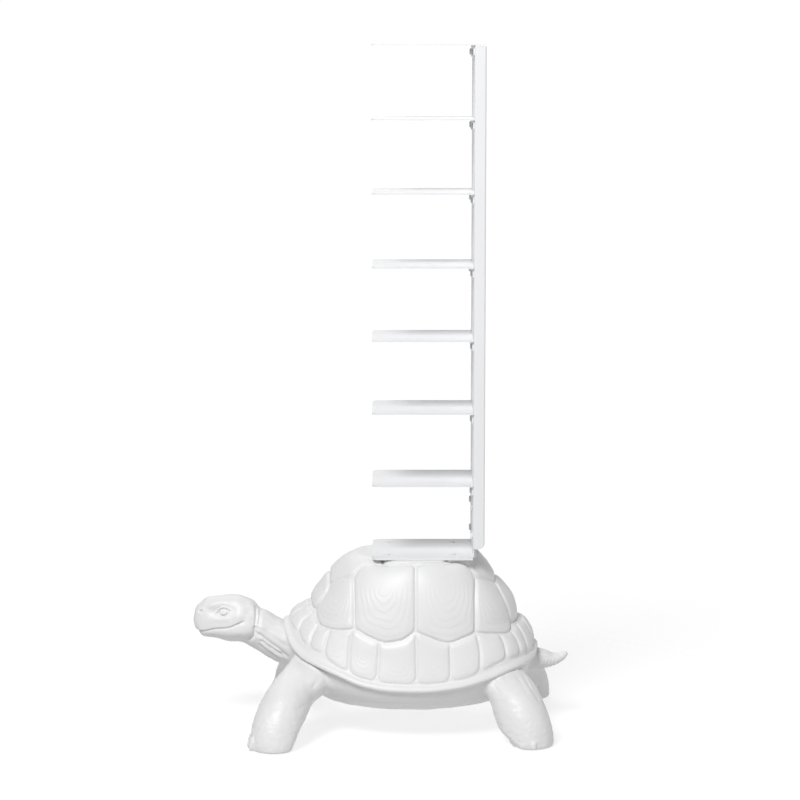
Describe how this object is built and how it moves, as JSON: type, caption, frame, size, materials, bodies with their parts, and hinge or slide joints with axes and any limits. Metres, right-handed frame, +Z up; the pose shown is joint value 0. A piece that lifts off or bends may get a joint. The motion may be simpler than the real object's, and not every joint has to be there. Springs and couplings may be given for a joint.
{
  "type": "tower bookshelf on a tortoise base",
  "caption": "Narrow steel tower of small book shelves standing on the back of a white moulded tortoise; books lie flat in the spaces between the plates.",
  "frame": {"origin": "on the floor, under the middle of the bounding box", "axes": "+Z up; the tortoise looks along -X with its tail towards +X and its left side towards -Y; the spine stands over its hindquarters and the shelves reach forward from it along -X"},
  "size_m": [0.5778, 0.407, 1.04],
  "materials": {
    "tortoise_shell_plastic": "white moulded polyethylene, semi-matt, solid colour",
    "plug_plastic": "white moulded plastic",
    "steel_powder_coat": "white powder coat, fine texture, low sheen",
    "screw_steel": "white-coated steel screws with dark sockets",
    "nut_steel": "zinc-plated",
    "insert_brass": "plain turned brass",
    "pad_rubber": "soft grey rubber"
  },
  "bodies": {
    "root": {"foot_bracket": "steel_powder_coat", "foot_pad_front_left": "pad_rubber", "foot_pad_front_right": "pad_rubber", "foot_pad_hind_left": "pad_rubber", "foot_pad_hind_right": "pad_rubber", "seat_inserts": "insert_brass", "seat_screws": "screw_steel", "shelf_1": "steel_powder_coat", "shelf_2": "steel_powder_coat", "shelf_3": "steel_powder_coat", "shelf_4": "steel_powder_coat", "shelf_5": "steel_powder_coat", "shelf_6": "steel_powder_coat", "shelf_nuts": "nut_steel", "shelf_screws": "screw_steel", "spine": "steel_powder_coat", "spine_bolts": "screw_steel", "spine_nuts": "nut_steel", "top_shelf": "steel_powder_coat", "tortoise_body": "tortoise_shell_plastic", "vent_plug": "plug_plastic"}
  },
  "joints": []
}
